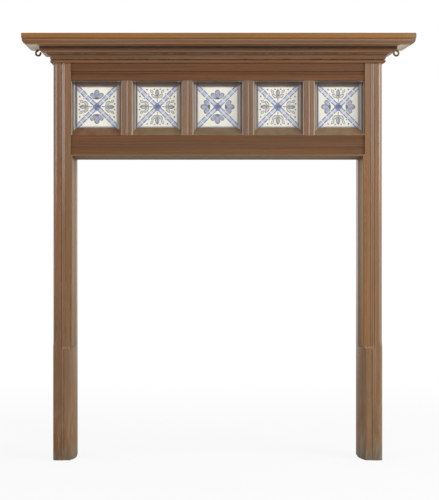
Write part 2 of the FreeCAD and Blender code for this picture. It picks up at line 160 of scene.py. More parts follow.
# wood grain: rings about a far pith, streaks, fibres and open pores along local x
grainNoise = {
    "wander": {"scales": (1.4, 9.0, 9.0)},
    "streak": {"scales": (1.5, 62.0, 62.0), "detail": 3.0, "roughness": 0.55},
    "drift": {"scales": (1.1, 8.0, 8.0), "detail": 1.0},
    "figure": {"scales": (2.4, 230.0, 230.0), "roughness": 0.6},
    "fibre": {"scales": (13.0, 850.0, 850.0), "roughness": 0.6},
    "pore": {"scales": (75.0, 2100.0, 2100.0), "detail": 1.0},
    "patch": {"scales": (2.6, 11.0, 11.0)},
}
grainShares = {"streak": 0.85, "drift": 0.75, "figure": 0.7}  # of one level from dark to light
grainShape = {
    "ringShare": 0.12, "ringPower": 1.5, "ringHeight": 0.15, "middleLevel": 1.21, "levelGain": 3.0,
    "redder": (1.07, 0.95, 0.84), "redPatch": (0.5, 0.68),
    "greyer": (0.94, 1.01, 1.12), "greyPatch": (0.32, 0.5, 1.0, 0.0),
    "fibreShade": (0.25, 0.75, 0.92, 1.07), "fibreHeight": 0.35, "streakSheen": 0.12,
    "pores": (0.6, 0.72), "poreShade": -0.3, "poreHeight": -0.6, "poreSheen": 0.15,
}


def makeWoodGrain():
    tree, given, wanted = newGroup(
        "woodGrain",
        [("Place", "vector"), ("Ring Width", "value"), ("Wander", "value"), ("Contrast", "value"),
         ("Dark", "colour"), ("Middle", "colour"), ("Light", "colour")],
        [("Colour", "colour"), ("Height", "value"), ("Sheen", "value")],
    )
    shape = grainShape
    marks = {key: noise(tree, given["Place"], **setting) for key, setting in grainNoise.items()}
    spot = splitPlace(tree, given["Place"])
    wander = calc(tree, "SUBTRACT", marks["wander"], 0.5)
    radius = distance(tree, spot["Y"], spot["Z"])
    radius = calc(tree, "MULTIPLY_ADD", wander, given["Wander"], radius)
    turn = times(tree, calc(tree, "DIVIDE", radius, given["Ring Width"]), math.tau)
    ring = calc(tree, "MULTIPLY_ADD", calc(tree, "SINE", turn), 0.5, 0.5)
    ring = calc(tree, "POWER", ring, shape["ringPower"])
    pore = ease(tree, marks["pore"], *shape["pores"])
    # one level from dark to light
    level = times(tree, ring, shape["ringShare"])
    for key, share in grainShares.items():
        level = calc(tree, "MULTIPLY_ADD", marks[key], share, level)
    level = calc(tree, "SUBTRACT", level, shape["middleLevel"])
    level = times(tree, level, given["Contrast"])
    lighter = times(tree, level, shape["levelGain"], clamp=True)
    darker = times(tree, level, -shape["levelGain"], clamp=True)
    colour = blendColour(tree, lighter, given["Middle"], given["Light"])
    colour = blendColour(tree, darker, colour, given["Dark"])
    # slow shifts of hue, redder here and greyer there
    redder = tinted(tree, colour, rgb(shape["redder"]))
    greyer = tinted(tree, colour, rgb(shape["greyer"]))
    colour = blendColour(tree, ease(tree, marks["patch"], *shape["redPatch"]), colour, redder)
    colour = blendColour(tree, ease(tree, marks["patch"], *shape["greyPatch"]), colour, greyer)
    fine = ease(tree, marks["fibre"], *shape["fibreShade"])
    shade = times(tree, fine, calc(tree, "MULTIPLY_ADD", pore, shape["poreShade"], 1.0))
    grey = addNode(tree, "ShaderNodeCombineColor")
    for socket in grey.inputs:
        feed(tree, socket, shade)
    feed(tree, wanted["Colour"], tinted(tree, colour, grey.outputs[0]))
    height = times(tree, ring, shape["ringHeight"])
    height = calc(tree, "MULTIPLY_ADD", marks["fibre"], shape["fibreHeight"], height)
    feed(tree, wanted["Height"], calc(tree, "MULTIPLY_ADD", pore, shape["poreHeight"], height))
    sheen = times(tree, pore, shape["poreSheen"])
    feed(tree, wanted["Sheen"], calc(tree, "MULTIPLY_ADD", marks["streak"], shape["streakSheen"], sheen))
    return tree


# age: arrises rubbed pale with painted sheen, dirt and painted shade in the quirks, dust on what faces up,
# scuffs low down
ageNoise = {
    "patches": {"scales": (38.0, 38.0, 38.0), "detail": 3.0, "roughness": 0.6},
    "marks": {"scales": (60.0, 60.0, 9.0), "detail": 4.0, "roughness": 0.65},
    "chips": {"scales": (260.0, 260.0, 160.0)},
    "dents": {"scales": (24.0, 24.0, 24.0)},
}
ageLevels = {  # from, to, and where it isn't 0 to 1 the amounts there
    "arris": (0.35, 0.8, 1.0, 0.0), "rubbedPatches": (0.3, 0.62), "hollow": (0.25, 0.85, 1.0, 0.0),
    "upward": (0.15, 0.85), "filmPatches": (0.25, 0.7, 0.35, 1.0),
    "low": (0.0, 0.4, 1.0, 0.0), "scuffMarks": (0.42, 0.7), "matt": (0.15, 0.8, 0.85, 0.0),
    "joint": (0.0015, 0.0045, 1.0, 0.0), "chips": (0.5, 0.62),
    "ground": (0.0, 0.075, 1.0, 0.0), "groundMarks": (0.3, 0.6, 0.3, 1.0),
    "soot": (0.0, 0.018), "sootPatches": (0.3, 0.6, 0.75, 1.0),
    "ends": (0.0, 0.008), "downward": (-0.97, -0.85, 1.0, 0.0),
    "tips": (0.664, 0.682, 0.0, 0.55), "bleachPatches": (0.3, 0.7),
}
ageAmounts = {
    "arrisReach": 0.003, "arrisSamples": 5, "hollowSamples": 6, "grimeDulling": 0.8, "chipped": 0.4,
    "groundGain": 2.5, "rubbedHeight": -0.3, "dentHeight": 0.5,
}
ageShades = {
    "matt": (0.96, 1.05, 1.06), "ground": (0.085, 0.08, 0.058), "chipped": (0.46, 0.4, 0.33),
    "soot": (0.02, 0.014, 0.009), "tips": (0.085, 0.064, 0.048),
    "bleached": (0.45, 0.362, 0.285), "paler": (0.52, 0.427, 0.343),
}


def makeAgeing():
    tree, given, wanted = newGroup(
        "ageing",
        [("Place", "vector"), ("Colour", "colour"), ("Worn", "colour"), ("Dirt", "colour"),
         ("Dust", "colour"), ("Wear Amount", "value"), ("Dirt Amount", "value"), ("Dust Amount", "value"),
         ("Scuff Amount", "value"), ("Reach", "value"), ("Joint Height", "value"), ("Soot Height", "value"),
         ("Soot Amount", "value"), ("Under Amount", "value"), ("Under Start", "value")],
        [("Colour", "colour"), ("Dulling", "value"), ("Height", "value")],
    )
    found = {key: noise(tree, given["Place"], **setting) for key, setting in ageNoise.items()}
    spot = splitPlace(tree, given["Place"])
    facing = splitPlace(tree, addNode(tree, "ShaderNodeNewGeometry").outputs["Normal"])
    shades = {key: rgb(shade) for key, shade in ageShades.items()}

    def step(value, key):
        return ease(tree, value, *ageLevels[key])

    # arrises rubbed pale in patches, wear that also serves as painted sheen
    samples = ageAmounts["arrisSamples"]
    inside = addNode(tree, "ShaderNodeAmbientOcclusion", inside=True, only_local=True, samples=samples)
    inside.inputs["Distance"].default_value = ageAmounts["arrisReach"]
    rubbed = times(tree, step(inside.outputs["AO"], "arris"), step(found["patches"], "rubbedPatches"))
    rubbed = times(tree, rubbed, given["Wear Amount"], clamp=True)
    # dirt and painted shade in the quirks and under overhangs
    hollow = addNode(tree, "ShaderNodeAmbientOcclusion", samples=ageAmounts["hollowSamples"])
    feed(tree, hollow.inputs["Distance"], given["Reach"])
    grime = times(tree, step(hollow.outputs["AO"], "hollow"), given["Dirt Amount"], clamp=True)
    # a film of dust on top, scuffs and lost shine low down
    film = times(tree, step(facing["Z"], "upward"), step(found["patches"], "filmPatches"))
    film = times(tree, film, given["Dust Amount"], clamp=True)
    scuff = times(tree, step(spot["Z"], "low"), step(found["marks"], "scuffMarks"))
    scuff = times(tree, scuff, given["Scuff Amount"], clamp=True)
    matt = step(spot["Z"], "matt")
    # chipped line at a joint between boards
    nearJoint = calc(tree, "ABSOLUTE", calc(tree, "SUBTRACT", spot["Z"], given["Joint Height"]))
    chipped = times(tree, step(nearJoint, "joint"), step(found["chips"], "chips"))
    chipped = times(tree, chipped, ageAmounts["chipped"])
    # grey grime along the floor
    ground = times(tree, step(spot["Z"], "ground"), step(found["marks"], "groundMarks"))
    groundAmount = times(tree, given["Scuff Amount"], ageAmounts["groundGain"])
    ground = times(tree, ground, groundAmount, clamp=True)
    # painted shade from a height upwards, in patches
    above = calc(tree, "SUBTRACT", spot["Z"], given["Soot Height"])
    soot = times(tree, step(above, "soot"), step(found["patches"], "sootPatches"))
    soot = times(tree, soot, given["Soot Amount"], clamp=True)
    # undersides painted lighter near the ends of the shelf, a painted light from below, and the very ends
    # painted darker
    outward = calc(tree, "ABSOLUTE", spot["X"])
    ends = step(calc(tree, "SUBTRACT", outward, given["Under Start"]), "ends")
    under = times(tree, ends, step(facing["Z"], "downward"))
    under = times(tree, under, given["Under Amount"], clamp=True)
    tips = times(tree, step(outward, "tips"), given["Under Amount"], clamp=True)
    paler = step(found["patches"], "bleachPatches")
    bleached = blendColour(tree, paler, shades["bleached"], shades["paler"])
    layers = [
        (matt, tinted(tree, given["Colour"], shades["matt"])), (ground, shades["ground"]),
        (grime, given["Dirt"]), (rubbed, given["Worn"]), (largest(tree, film, scuff), given["Dust"]),
        (chipped, shades["chipped"]), (soot, shades["soot"]), (tips, shades["tips"]), (under, bleached),
    ]
    colour = given["Colour"]
    for amount, shade in layers:
        colour = blendColour(tree, amount, colour, shade)
    feed(tree, wanted["Colour"], colour)
    dulling = times(tree, grime, ageAmounts["grimeDulling"])
    feed(tree, wanted["Dulling"], largest(tree, dulling, film, scuff, matt))
    dents = times(tree, found["dents"], ageAmounts["dentHeight"])
    feed(tree, wanted["Height"], calc(tree, "MULTIPLY_ADD", rubbed, ageAmounts["rubbedHeight"], dents))
    return tree


woodGrain = makeWoodGrain()
ageing = makeAgeing()
nowhere = {"joint": -1.0, "soot": 9.0, "under": 9.0}  # heights and distances that no piece reaches
axisOrder = {"x": "XYZ", "y": "YXZ", "z": "ZXY"}


def grainPlace(tree, spot, axis, shift):  # grain along x, moved to the board's place in the log
    turned = addNode(tree, "ShaderNodeCombineXYZ")
    for socket, letter in zip(turned.inputs, axisOrder[axis]):
        feed(tree, socket, spot[letter])
    moved = addNode(tree, "ShaderNodeVectorMath", operation="ADD")
    feed(tree, moved.inputs[0], turned.outputs[0])
    moved.inputs[1].default_value = shift
    return moved.outputs[0]


# tones of the polished wood, one set for each part of the surround; the upright pieces lighter and the
# rails darker and redder, partly the wood and partly painted light for the side lamps' sheen on upright
# grain
woodLooks = {
    "shelf": {
        "dark": (0.14, 0.058, 0.012), "middle": (0.198, 0.088, 0.022), "light": (0.255, 0.117, 0.032),
        "gloss": 0.5, "specular": 0.15, "coat": 0.0,
        "wear": 0.4, "dirt": 0.6, "dust": 0.3, "reach": 0.006,
    },
    # a paler underside, lightened further as painted light from the bright floor
    "soffit": {
        "dark": (0.2, 0.11, 0.06), "middle": (0.26, 0.15, 0.085), "light": (0.33, 0.2, 0.12),
        "gloss": 0.5, "specular": 0.3, "coat": 0.1,
        "wear": 0.2, "dirt": 0.3, "dust": 0.3, "reach": 0.005,
    },
    "cornice": {
        "dark": (0.108, 0.051, 0.025), "middle": (0.156, 0.079, 0.041), "light": (0.21, 0.112, 0.06),
        "gloss": 0.5, "specular": 0.06, "coat": 0.0,
        "wear": 0.75, "dirt": 1.2, "dust": 0.0, "reach": 0.009,
    },
    # the bed mould is painted darker towards its top, painted shade under the shelf
    "bed": {
        "dark": (0.108, 0.051, 0.025), "middle": (0.156, 0.079, 0.043), "light": (0.21, 0.113, 0.063),
        "gloss": 0.5, "specular": 0.06, "coat": 0.0,
        "wear": 0.75, "dirt": 1.2, "dust": 0.0, "reach": 0.009, "soot": 1.438, "sootAmount": 0.5,
    },
    "rail": {
        "dark": (0.073, 0.03, 0.012), "middle": (0.103, 0.044, 0.019), "light": (0.146, 0.065, 0.028),
        "gloss": 0.48, "specular": 0.12, "coat": 0.0,
        "wear": 0.1, "dirt": 1.1, "dust": 0.0, "reach": 0.004,
    },
    "leg": {
        "dark": (0.11, 0.05, 0.021), "middle": (0.16, 0.077, 0.034), "light": (0.225, 0.115, 0.053),
        "gloss": 0.45, "specular": 0.25, "coat": 0.7,
        "wear": 0.95, "dirt": 0.12, "dust": 0.2, "reach": 0.005,
    },
    "cheek": {
        "dark": (0.118, 0.054, 0.022), "middle": (0.174, 0.083, 0.036), "light": (0.242, 0.124, 0.056),
        "gloss": 0.45, "specular": 0.25, "coat": 0.35,
        "wear": 0.35, "dirt": 0.12, "dust": 0.2, "reach": 0.005,
    },
    "flat": {
        "dark": (0.135, 0.06, 0.021), "middle": (0.185, 0.086, 0.033), "light": (0.25, 0.122, 0.05),
        "gloss": 0.45, "specular": 0.2, "coat": 0.3,
        "wear": 0.95, "dirt": 0.12, "dust": 0.2, "reach": 0.005,
    },
    # the panel moulds are painted darker at the head, painted shade under the rail
    "panel": {
        "dark": (0.085, 0.055, 0.034), "middle": (0.125, 0.084, 0.053), "light": (0.17, 0.115, 0.074),
        "gloss": 0.4, "specular": 0.25, "coat": 0.35,
        "wear": 0.95, "dirt": 1.2, "dust": 0.1, "reach": 0.008, "soot": 1.3225, "sootAmount": 0.6,
    },
    "mould": {
        "dark": (0.12, 0.064, 0.025), "middle": (0.174, 0.092, 0.031), "light": (0.228, 0.124, 0.045),
        "gloss": 0.42, "specular": 0.2, "coat": 0.22,
        "wear": 0.8, "dirt": 0.6, "dust": 0.2, "reach": 0.006,
    },
    "sill": {
        "dark": (0.08, 0.048, 0.025), "middle": (0.118, 0.074, 0.04), "light": (0.155, 0.1, 0.056),
        "gloss": 0.5, "specular": 0.15, "coat": 0.0,
        "wear": 0.3, "dirt": 0.5, "dust": 0.3, "reach": 0.006,
    },
    "edge": {
        "dark": (0.12, 0.078, 0.044), "middle": (0.17, 0.113, 0.066), "light": (0.22, 0.15, 0.09),
        "gloss": 0.55, "specular": 0.1, "coat": 0.0,
        "wear": 0.4, "dirt": 0.3, "dust": 0.2, "reach": 0.005,
    },
}
polish = {
    "ringWidth": 0.0085, "wander": 0.045, "contrast": 0.8, "bumpDepth": 0.0003, "bumpStrength": 0.35,
    "worn": (0.38, 0.275, 0.21), "dirt": (0.035, 0.02, 0.01), "dust": (0.3, 0.235, 0.17),
    "scuffAmount": 0.35, "coatRoughness": 0.17, "sheenMiddle": 0.06, "dulledRoughness": 0.3,
    "dirtShade": 0.1, "lineFade": (0.75, 1.25, 0.25, 1.0), "lineBreaks": (0.04, 0.08, 0.7, 1.0),
}
logSteps = {"along": 0.73, "across": 0.083, "acrossFrom": 0.31, "deep": 0.061, "deepFrom": -0.22}
footJoint = 0.3985  # where the lower half of a leg's inner board begins
sightHalf = 0.0728  # half of what shows of a tile
mouldRuns = ("_front", "_left", "_right")  # a mould and its two returns

# boards and moulds that are lighter, darker or warmer than their look
pieceTints = {
    "sill_1": (0.9, 0.57, 0.39), "sill_2": (1.16, 1.1, 1.0),
    "sill_4": (1.1, 1.05, 1.0), "sill_5": (1.1, 1.1, 1.05),
    "left_outer_stile": (0.84, 0.76, 0.64), "left_inner_stile": (0.88, 0.89, 0.92),
    "right_outer_stile": (0.91, 0.98, 1.0), "right_inner_stile": (0.83, 0.89, 0.89),
    # the left opening mould is tinted pale and cool as a painted sheen from the right; the right one is
    # tinted warmer
    "left_opening_mould": (1.02, 1.08, 1.38), "right_opening_mould": (0.98, 0.91, 0.78),
    "mullion_1": (0.9, 0.9, 0.88), "mullion_2": (0.83, 0.83, 0.8),
    "mullion_3": (0.66, 0.66, 0.6), "mullion_4": (0.87, 0.89, 0.87),
    "top_rail": (0.98, 0.94, 0.84), "bottom_rail": (1.02, 1.05, 1.0),
}
for part, tint in (("cove_mould", (0.9, 0.89, 0.87)), ("necking", (1.08, 1.0, 0.88))):
    pieceTints.update({part + run: tint for run in mouldRuns})

# undersides given painted light from some way along to the ends
underLight = {"shelf": 1.0, "bed": 0.6, "shelfFrom": 0.624, "bedFrom": 0.598}
endUndersides = {"shelf_core": underLight["shelf"]}
for part, amount in (("shelf_edge", underLight["shelf"]), ("bed_mould", underLight["bed"])):
    endUndersides.update({part + run: amount for run in mouldRuns})

# straight lines of wear, dirt, painted shade and painted highlight: place or distance from an edge, half
# width, softness, amount, shade
lineShades = {
    "rubbed": (0.4, 0.325, 0.275), "handled": (0.17, 0.125, 0.085), "edgePale": (0.38, 0.265, 0.155),
    "beadGrey": (0.33, 0.295, 0.245), "slopePale": (0.34, 0.3, 0.29), "cool": (0.36, 0.33, 0.31),
    "umber": (0.115, 0.078, 0.055), "brown": (0.115, 0.066, 0.035), "warm": (0.17, 0.08, 0.038),
    "tileDirt": (0.05, 0.046, 0.045), "endDirt": (0.06, 0.053, 0.042), "quirkDark": (0.035, 0.029, 0.023),
    "reedDark": (0.065, 0.052, 0.04), "faceDark": (0.06, 0.024, 0.01), "edgeDark": (0.09, 0.036, 0.01),
}
lineKinds = {
    # pale lines on the leg beads: rubbed polish and painted sheen
    "leftBead": (-0.5457, 0.0054, 0.0007, 0.42, "rubbed"),
    "rightBead": (0.547, 0.0066, 0.0007, 0.19, "rubbed"),
    "rightQuirk": (0.5348, 0.0045, 0.002, 0.5, "umber"),
    # painted grey highlight on the right leg's outer arris
    "rightEdge": (0.5755, 0.004, 0.001, 0.22, "cool"),
    # on the panel jambs: pale lines on beads and slopes are painted highlights, the dark line at the tile's
    # edge is painted shade and dirt in the gap
    "jambLeftBead": (-0.0158, 0.0028, 0.0007, 0.6, "beadGrey"),
    "jambLeftFoot": (-0.0012, 0.0026, 0.0007, 0.9, "tileDirt"),
    "jambLeftSlope": (-0.0058, 0.0018, 0.0006, 0.42, "slopePale"),
    "jambRightSlope": (0.005, 0.004, 0.002, 0.3, "slopePale"),
    "jambRightBead": (0.0158, 0.0026, 0.0007, 0.25, "beadGrey"),
    # painted shade on the bead along each panel's head
    "panelHead": (1.344, 0.003, 0.001, 0.5, "quirkDark"),
    # pale mullion beads: rubbed polish and painted sheen
    "mullionBead": (0.0, 0.006, 0.0015, 0.25, "rubbed"),
    "railReeds": (1.1157, 0.0105, 0.002, 0.35, "reedDark"),
    "railFace": (1.1404, 0.011, 0.003, 0.22, "faceDark"),
    # painted light lifting the shade just under the necking
    "railTop": (0.0, 0.004, 0.001, 0.8, "warm"),
    # painted shade on the top fillet of the opening's head mould
    "openingHead": (0.0, 0.009, 0.001, 0.75, "brown"),
    "shelfEnd": (0.0, 0.03, 0.03, 0.5, "handled"),
    "edgeEnd": (0.0, 0.03, 0.03, 0.4, "handled"),
    # painted shade in the quirk under the shelf board, and painted highlights on the arrises of the shelf
    # edge and bed mould
    "edgeQuirk": (-0.0008, 0.0018, 0.0006, 0.6, "edgeDark"),
    "edgeTop": (-0.0054, 0.0019, 0.0007, 0.22, "edgePale"),
    "edgeFoot": (0.0034, 0.0019, 0.0007, 0.27, "edgePale"),
    "bedFoot": (0.0038, 0.0017, 0.0007, 0.23, "edgePale"),
    "leftEnd": (0.0, 0.01, 0.005, 0.6, "endDirt"),
    "rightEnd": (0.0, 0.008, 0.005, 0.4, "endDirt"),
    # painted shade from the bed mould on the head of the cove
    "coveHead": (-0.002, 0.0055, 0.0015, 0.35, "quirkDark"),
}
quirkDepths = {1: 0.7, 2: 0.55, 3: 0.42, 4: 0.5, 5: 0.3}  # painted shade of the bead on the right jamb of each panel
for i, depth in quirkDepths.items():
    lineKinds["jambRightQuirk" + str(i)] = (0.0118, 0.0022, 0.0008, depth, "quirkDark")
pieceLines = {}


def addLine(piece, axis, kind, edge=0.0):
    pieceLines.setdefault(piece, []).append((axis, edge, kind))


for side in ("left", "right"):
    addLine(side + "_outer_stile", "X", side + "Bead")
    addLine(side + "_inner_stile", "X", side + "Bead")
addLine("right_inner_stile", "X", "rightQuirk")
addLine("right_outer_stile", "X", "rightEdge")
for i in range(1, 6):
    low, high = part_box("tile_" + str(i))
    mould = "panel_" + str(i) + "_mould"
    leftSight = (low.x + high.x) / 2 - sightHalf
    rightSight = (low.x + high.x) / 2 + sightHalf
    for kind in ("jambLeftBead", "jambLeftFoot", "jambLeftSlope"):
        addLine(mould, "X", kind, leftSight)
    for kind in ("jambRightSlope", "jambRightBead", "jambRightQuirk" + str(i)):
        addLine(mould, "X", kind, rightSight)
    addLine(mould, "Z", "panelHead")
for i in range(1, 5):
    low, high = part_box("mullion_" + str(i))
    addLine("mullion_" + str(i), "X", "mullionBead", (low.x + high.x) / 2)
addLine("bottom_rail", "Z", "railReeds")
addLine("bottom_rail", "Z", "railFace")
low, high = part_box("opening_mould_head")
addLine("opening_mould_head", "Z", "openingHead", high.z)
low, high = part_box("shelf_board")
addLine("shelf_board", "X", "shelfEnd", high.x)
shelfEnd = high.x
low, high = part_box("shelf_edge_front")
for run in mouldRuns:
    addLine("shelf_edge" + run, "Z", "edgeQuirk", high.z)
    addLine("shelf_edge" + run, "Z", "edgeTop", high.z)
    addLine("shelf_edge" + run, "Z", "edgeFoot", low.z)
    addLine("shelf_edge" + run, "X", "edgeEnd", shelfEnd)
low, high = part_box("bed_mould_front")
for run in mouldRuns:
    addLine("bed_mould" + run, "Z", "bedFoot", low.z)
for part in ("cove_mould", "necking"):
    low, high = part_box(part + "_front")
    for run in mouldRuns:
        addLine(part + run, "X", "leftEnd", low.x)
        addLine(part + run, "X", "rightEnd", high.x)
        if part == "cove_mould":
            addLine(part + run, "Z", "coveHead", high.z)
addLine("top_rail", "Z", "railTop", low.z)  # painted light just under the necking


def boardShift(number):  # each board comes from another place in the log
    across = logSteps["acrossFrom"] + logSteps["across"] * (number * 7 % 11)
    deep = logSteps["deepFrom"] + logSteps["deep"] * (number * 5 % 13)
    return (logSteps["along"] * number, across, deep)


def makeWood(name, look, axis, number):
    material, tree, shader = newMaterial(name + "_wood")
    tones = woodLooks[look]
    tint = pieceTints.get(name, (1.0, 1.0, 1.0))
    dark, middle, light = (
        rgb(tone * part for tone, part in zip(tones[key], tint)) for key in ("dark", "middle", "light")
    )
    place = objectPlace(tree)
    spot = splitPlace(tree, place)
    grain = useGroup(
        tree, woodGrain, place=grainPlace(tree, spot, axis, boardShift(number)),
        ringWidth=polish["ringWidth"], wander=polish["wander"], contrast=polish["contrast"],
        dark=dark, middle=middle, light=light,
    )
    aged = useGroup(
        tree, ageing, place=place, colour=grain["Colour"],
        worn=rgb(polish["worn"]), dirt=rgb(polish["dirt"]), dust=rgb(polish["dust"]),
        wearAmount=tones["wear"], dirtAmount=tones["dirt"], dustAmount=tones["dust"],
        scuffAmount=polish["scuffAmount"], reach=tones["reach"],
        jointHeight=footJoint if "inner" in name else nowhere["joint"],
        sootHeight=tones.get("soot", nowhere["soot"]), sootAmount=tones.get("sootAmount", 0.0),
        underAmount=endUndersides.get(name, 0.0),
        underStart=underLight["bedFrom"] if "bed" in name else underLight["shelfFrom"],
    )
    colour, dull = aged["Colour"], aged["Dulling"]
    for letter, edge, kind in pieceLines.get(name, []):
        offset, half, soft, amount, shadeName = lineKinds[kind]
        shade = lineShades[shadeName]
        off = calc(tree, "ABSOLUTE", calc(tree, "SUBTRACT", spot[letter], edge + offset))
        line = ease(tree, off, half - soft, half + soft, amount, 0.0)
        line = times(tree, line, ease(tree, spot["Z"], *polish["lineFade"]))  # fainter low down
        broken = times(tree, line, ease(tree, grain["Sheen"], *polish["lineBreaks"]))
        colour = blendColour(tree, broken, colour, rgb(shade))
        if max(shade) < polish["dirtShade"]:
            dull = largest(tree, dull, line)  # dark lines, dirt and painted shade alike, take the shine off
    feed(tree, shader.inputs["Base Color"], colour)
    rough = calc(tree, "ADD", grain["Sheen"], tones["gloss"] - polish["sheenMiddle"])
    rough = calc(tree, "MULTIPLY_ADD", dull, polish["dulledRoughness"], rough, clamp=True)
    feed(tree, shader.inputs["Roughness"], rough)
    shader.inputs["Specular IOR Level"].default_value = tones["specular"]
    if tones["coat"]:
        coat = calc(tree, "MULTIPLY_ADD", dull, -tones["coat"], tones["coat"], clamp=True)
        feed(tree, shader.inputs["Coat Weight"], coat)
        shader.inputs["Coat Roughness"].default_value = polish["coatRoughness"]
    height = calc(tree, "ADD", grain["Height"], aged["Height"])
    addBump(tree, shader, height, polish["bumpDepth"], polish["bumpStrength"])
    return material


mouldLooks = {"shelf_edge": "cornice", "bed_mould": "bed", "cove_mould": "cornice", "necking": "cornice"}
legLooks = {
    "_inner_stile": "flat", "_inner_foot": "leg", "_side_return": "leg", "_jamb_lining": "leg",
    "_opening_mould": "mould",
}
woodPieces = [("shelf_board", "shelf", "x"), ("shelf_core", "soffit", "x")]
for part, look in mouldLooks.items():
    woodPieces += [(part + run, look, "x" if run == "_front" else "y") for run in mouldRuns]
woodPieces += [("top_rail", "rail", "x"), ("bottom_rail", "rail", "x")]
woodPieces += [("mullion_" + str(i), "cheek", "z") for i in range(1, 5)]
woodPieces += [("panel_" + str(i) + "_mould", "panel", "z") for i in range(1, 6)]
woodPieces += [("sill_" + str(i), "sill", "x") for i in range(1, 6)]
for side, outerLook in (("left", "leg"), ("right", "cheek")):
    woodPieces.append((side + "_outer_stile", outerLook, "z"))
    woodPieces += [(side + part, look, "z") for part, look in legLooks.items()]
woodPieces += [("opening_mould_head", "edge", "x"), ("head_lining", "edge", "x")]
for number, (node, look, axis) in enumerate(woodPieces):
    dress(node, makeWood(node, look, axis, number))
print("polished wood on", len(woodPieces), "pieces")

# rough carcase behind the frieze
deal = {
    "dark": (0.2, 0.1, 0.035), "middle": (0.36, 0.2, 0.08), "light": (0.47, 0.29, 0.13),
    "ringWidth": 0.011, "wander": 0.03, "contrast": 1.3,
    "worn": (0.5, 0.34, 0.18), "dirt": (0.07, 0.045, 0.025), "dust": (0.3, 0.24, 0.18),
    "wearAmount": 0.4, "dirtAmount": 0.9, "dustAmount": 0.8, "scuffAmount": 0.4, "reach": 0.012,
    "roughness": 0.72, "specular": 0.3, "bumpDepth": 0.0005, "bumpStrength": 0.6,
    "sawPitch": 190.0, "sawHeight": 0.12, "shiftFrom": (0.0, 0.12, -0.2), "shiftStep": (1.7, 0.05, 0.09),
}


def makeDeal(name, axis, number):
    material, tree, shader = newMaterial(name)
    place = objectPlace(tree)
    shift = [start + step * number for start, step in zip(deal["shiftFrom"], deal["shiftStep"])]
    moved = grainPlace(tree, splitPlace(tree, place), axis, shift)
    grain = useGroup(
        tree, woodGrain, place=moved,
        ringWidth=deal["ringWidth"], wander=deal["wander"], contrast=deal["contrast"],
        dark=rgb(deal["dark"]), middle=rgb(deal["middle"]), light=rgb(deal["light"]),
    )
    aged = useGroup(
        tree, ageing, place=place, colour=grain["Colour"],
        worn=rgb(deal["worn"]), dirt=rgb(deal["dirt"]), dust=rgb(deal["dust"]),
        wearAmount=deal["wearAmount"], dirtAmount=deal["dirtAmount"], dustAmount=deal["dustAmount"],
        scuffAmount=deal["scuffAmount"], reach=deal["reach"], jointHeight=nowhere["joint"],
        sootHeight=nowhere["soot"], sootAmount=0.0, underAmount=0.0, underStart=nowhere["under"],
    )
    feed(tree, shader.inputs["Base Color"], aged["Colour"])
    shader.inputs["Roughness"].default_value = deal["roughness"]
    shader.inputs["Specular IOR Level"].default_value = deal["specular"]
    along = splitPlace(tree, moved)["X"]
    saw = calc(tree, "SINE", times(tree, along, deal["sawPitch"] * math.tau))
    height = calc(tree, "ADD", grain["Height"], aged["Height"])
    height = calc(tree, "MULTIPLY_ADD", saw, deal["sawHeight"], height)
    addBump(tree, shader, height, deal["bumpDepth"], deal["bumpStrength"])
    return material


dealPieces = [
    ("left_core_post", "z"), ("right_core_post", "z"), ("backing_board", "x"), ("rear_bearer", "x"),
    ("glue_blocks", "x"),
]
for number, (node, axis) in enumerate(dealPieces):
    dress(node, makeDeal(node + "_deal", axis, number + 1))
print("deal carcase on", len(dealPieces), "pieces")

# glazed tiles: a generic blue and white saltire with fans and trefoils
glaze = {
    "cream": (0.69, 0.675, 0.605), "cloud": (0.615, 0.605, 0.54), "craze": (0.35, 0.27, 0.18),
    "band": (0.36, 0.4, 0.5), "petal": (0.2, 0.225, 0.35), "wash": (0.4, 0.42, 0.46),
    "slate": (0.05, 0.048, 0.055), "deep": (0.05, 0.07, 0.19), "grime": (0.065, 0.058, 0.05),
    "cloudNoise": {"scales": (21.0, 21.0, 21.0), "detail": 3.0},
    "rippleNoise": {"scales": (55.0, 55.0, 55.0), "detail": 1.0},
    "clouds": (0.3, 0.7, 0.0, 0.45), "smears": (0.3, 0.7, 0.13, 0.22),
    "crackScale": 130.0, "crazing": (0.008, 0.03, 0.35, 0.0),
    "paintHeight": 0.15, "crackHeight": -0.3, "bumpDepth": 0.0004, "bumpStrength": 0.35,
}
brush = {  # an unsteady hand and a wash that comes and goes
    "wobbleScale": 5.0, "wobbleDetail": 3.0, "wobble": 0.045,
    "wash": {"scales": (9.0, 9.0, 9.0), "detail": 3.0, "roughness": 0.65},
    "Band": (0.2, 0.7, 0.6, 1.0), "Petal": (0.2, 0.7, 0.6, 1.0), "Wash": (0.25, 0.7, 0.5, 1.0),
    "Deep": (0.2, 0.75, 0.7, 1.0), "Slate": (0.2, 0.75, 0.65, 1.0), "Grime": (0.25, 0.5, 0.75, 1.0),
}
saltire = {  # bands with dark edges, broken at even steps
    "band": (0.088, 0.1, 1.0, 0.0), "rimInner": (0.06, 0.07), "rimOuter": (0.106, 0.116, 1.0, 0.0),
    "beatFrom": 0.1, "beat": 0.16, "gap": (0.012, 0.024), "lozenge": (0.2, 0.225, 1.0, 0.0),
    "edgeInner": (0.94, 0.95), "edgeOuter": (0.975, 0.985, 0.6, 0.0),
    "clear": (0.13, 0.15), "border": (0.9, 0.92),
}
fan = {
    "foot": 0.36, "lobes": 3.6, "lobePower": 0.55, "lobeReach": 0.17, "rim": 0.31, "droop": -0.07,
    "outline": (-0.012, 0.012, 1.0, 0.0), "spread": (1.42, 1.5, 1.0, 0.0), "ribs": (0.3, 0.62),
    "root": (0.1, 0.12, 1.0, 0.0), "veins": (0.045, 0.06),
}
